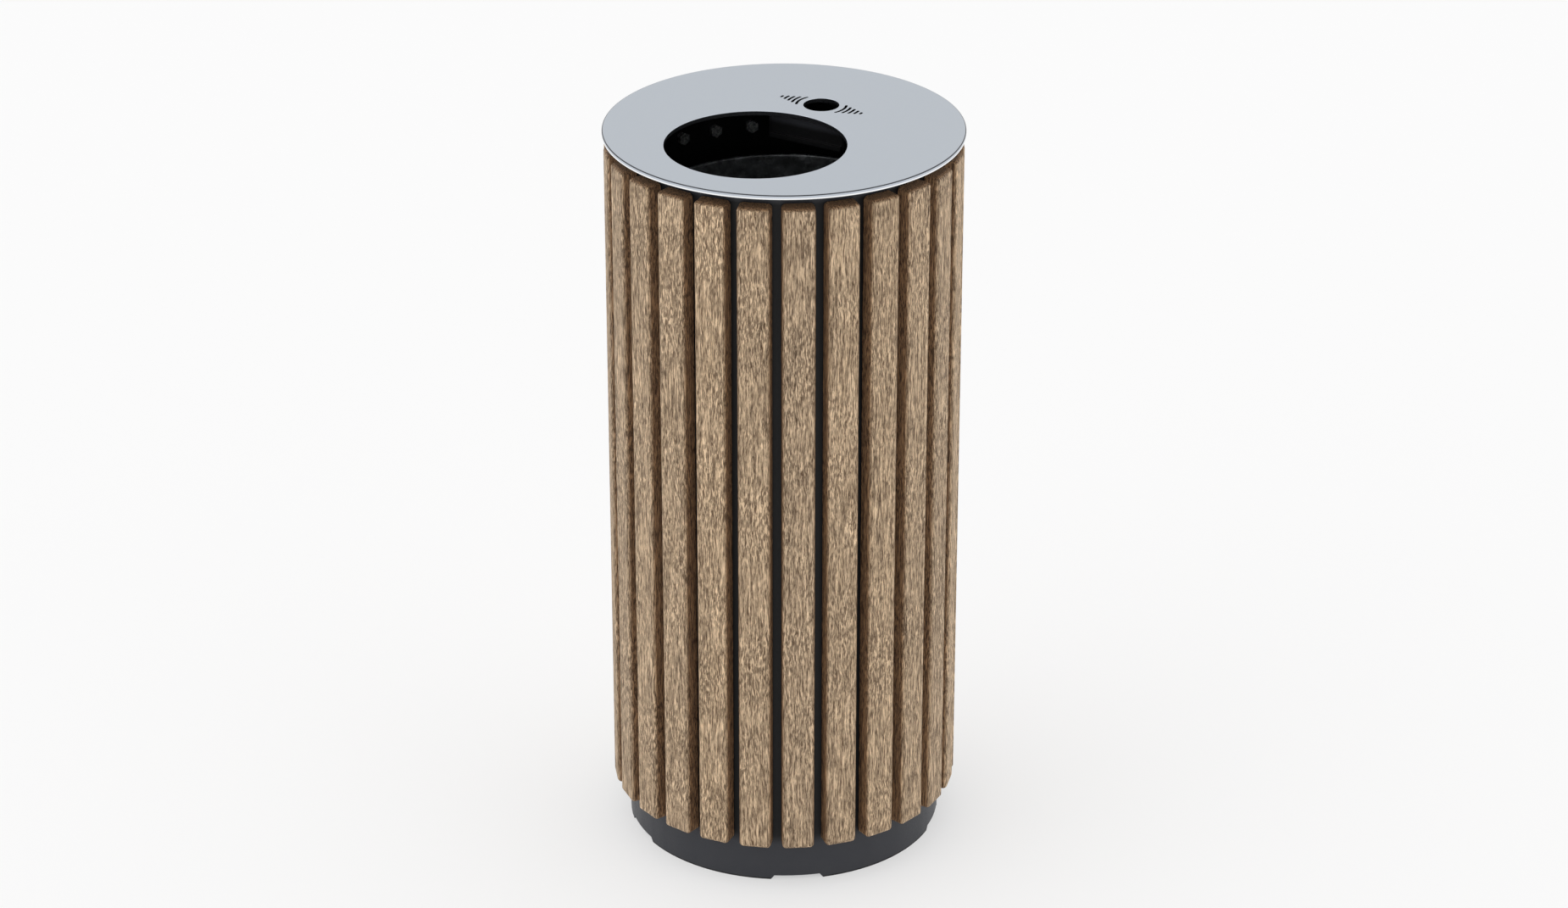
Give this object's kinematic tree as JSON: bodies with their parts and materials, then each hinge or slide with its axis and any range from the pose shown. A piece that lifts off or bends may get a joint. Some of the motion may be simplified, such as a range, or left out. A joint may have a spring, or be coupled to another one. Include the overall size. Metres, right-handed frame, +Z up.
{
  "type": "litter bin",
  "caption": "Round street litter bin: timber slats on a steel shell, flat hinged stainless lid with a litter opening and an ash hole, ash box, lift-out galvanised liner.",
  "frame": {"origin": "centre of the shell's bottom edge, on the ground", "axes": "+Z up; -Y is the side of the litter opening; +Y is the side of the ash hole and the lid hinge"},
  "size_m": [0.3999, 0.4, 0.85],
  "materials": {
    "painted_steel": "anthracite powder coat, fine texture",
    "brushed_stainless": "fine brushed grain",
    "timber": "weathered light brown hardwood, open pores",
    "zinc_plated_steel": "bright zinc plate",
    "galvanised_steel": "hot-dip galvanised, mottled",
    "black_rubber": "matt",
    "black_plastic": "fine spark texture"
  },
  "bodies": {
    "body": {"shell": "painted_steel", "top_ring": "painted_steel", "lid_buffers": "black_rubber", "base_plate": "painted_steel", "liner_lugs": "painted_steel", "slat_01": "timber", "slat_02": "timber", "slat_03": "timber", "slat_04": "timber", "slat_05": "timber", "slat_06": "timber", "slat_07": "timber", "slat_08": "timber", "slat_09": "timber", "slat_10": "timber", "slat_11": "timber", "slat_12": "timber", "slat_13": "timber", "slat_14": "timber", "slat_15": "timber", "slat_16": "timber", "slat_17": "timber", "slat_18": "timber", "slat_19": "timber", "slat_20": "timber", "slat_21": "timber", "slat_22": "timber", "slat_23": "timber", "slat_24": "timber", "slat_25": "timber", "upper_slat_inserts": "zinc_plated_steel", "lower_slat_inserts": "zinc_plated_steel", "upper_slat_washers": "zinc_plated_steel", "lower_slat_washers": "zinc_plated_steel", "upper_slat_screws": "zinc_plated_steel", "lower_slat_screws": "zinc_plated_steel", "body_hinge_leaf": "zinc_plated_steel", "hinge_pin": "zinc_plated_steel", "hinge_screws": "zinc_plated_steel", "hinge_nuts": "zinc_plated_steel"},
    "lid": {"lid_plate": "brushed_stainless", "lid_hinge_leaf": "brushed_stainless", "ash_cradle": "painted_steel", "latch_stud": "zinc_plated_steel", "latch_washer": "zinc_plated_steel", "latch_nut": "zinc_plated_steel"},
    "latch": {"latch_cam": "zinc_plated_steel", "latch_grip": "black_plastic"},
    "ash_box": {"ash_box": "painted_steel"},
    "liner": {"liner_wall": "galvanised_steel", "liner_floor": "galvanised_steel", "liner_rim_bead": "galvanised_steel", "handle_ears": "galvanised_steel"},
    "handle_left": {"liner_handle_left": "galvanised_steel"},
    "handle_right": {"liner_handle_right": "galvanised_steel"}
  },
  "joints": [
    {"name": "lid_hinge", "type": "hinge", "parent": "body", "child": "lid", "pos_m": [0, 0.195, 0.841], "axis": [-1, 0, 0], "range_deg": [0, 95]},
    {"name": "latch_turn", "type": "hinge", "parent": "lid", "child": "latch", "pos_m": [0.11691, -0.0675, 0.8295], "axis": [0, 0, -1], "range_deg": [0, 90]},
    {"name": "ash_box_slide", "type": "slide", "parent": "lid", "child": "ash_box", "axis": [0, -1, 0], "range_m": [0, 0.07]},
    {"name": "liner_lift", "type": "slide", "parent": "body", "child": "liner", "axis": [0, 0, 1], "range_m": [0, 0.06]},
    {"name": "handle_left_swing", "type": "hinge", "parent": "liner", "child": "handle_left", "pos_m": [-0.136, 0, 0.73], "axis": [0, -1, 0], "range_deg": [0, 170]},
    {"name": "handle_right_swing", "type": "hinge", "parent": "liner", "child": "handle_right", "pos_m": [0.136, 0, 0.73], "axis": [0, 1, 0], "range_deg": [0, 170]}
  ]
}
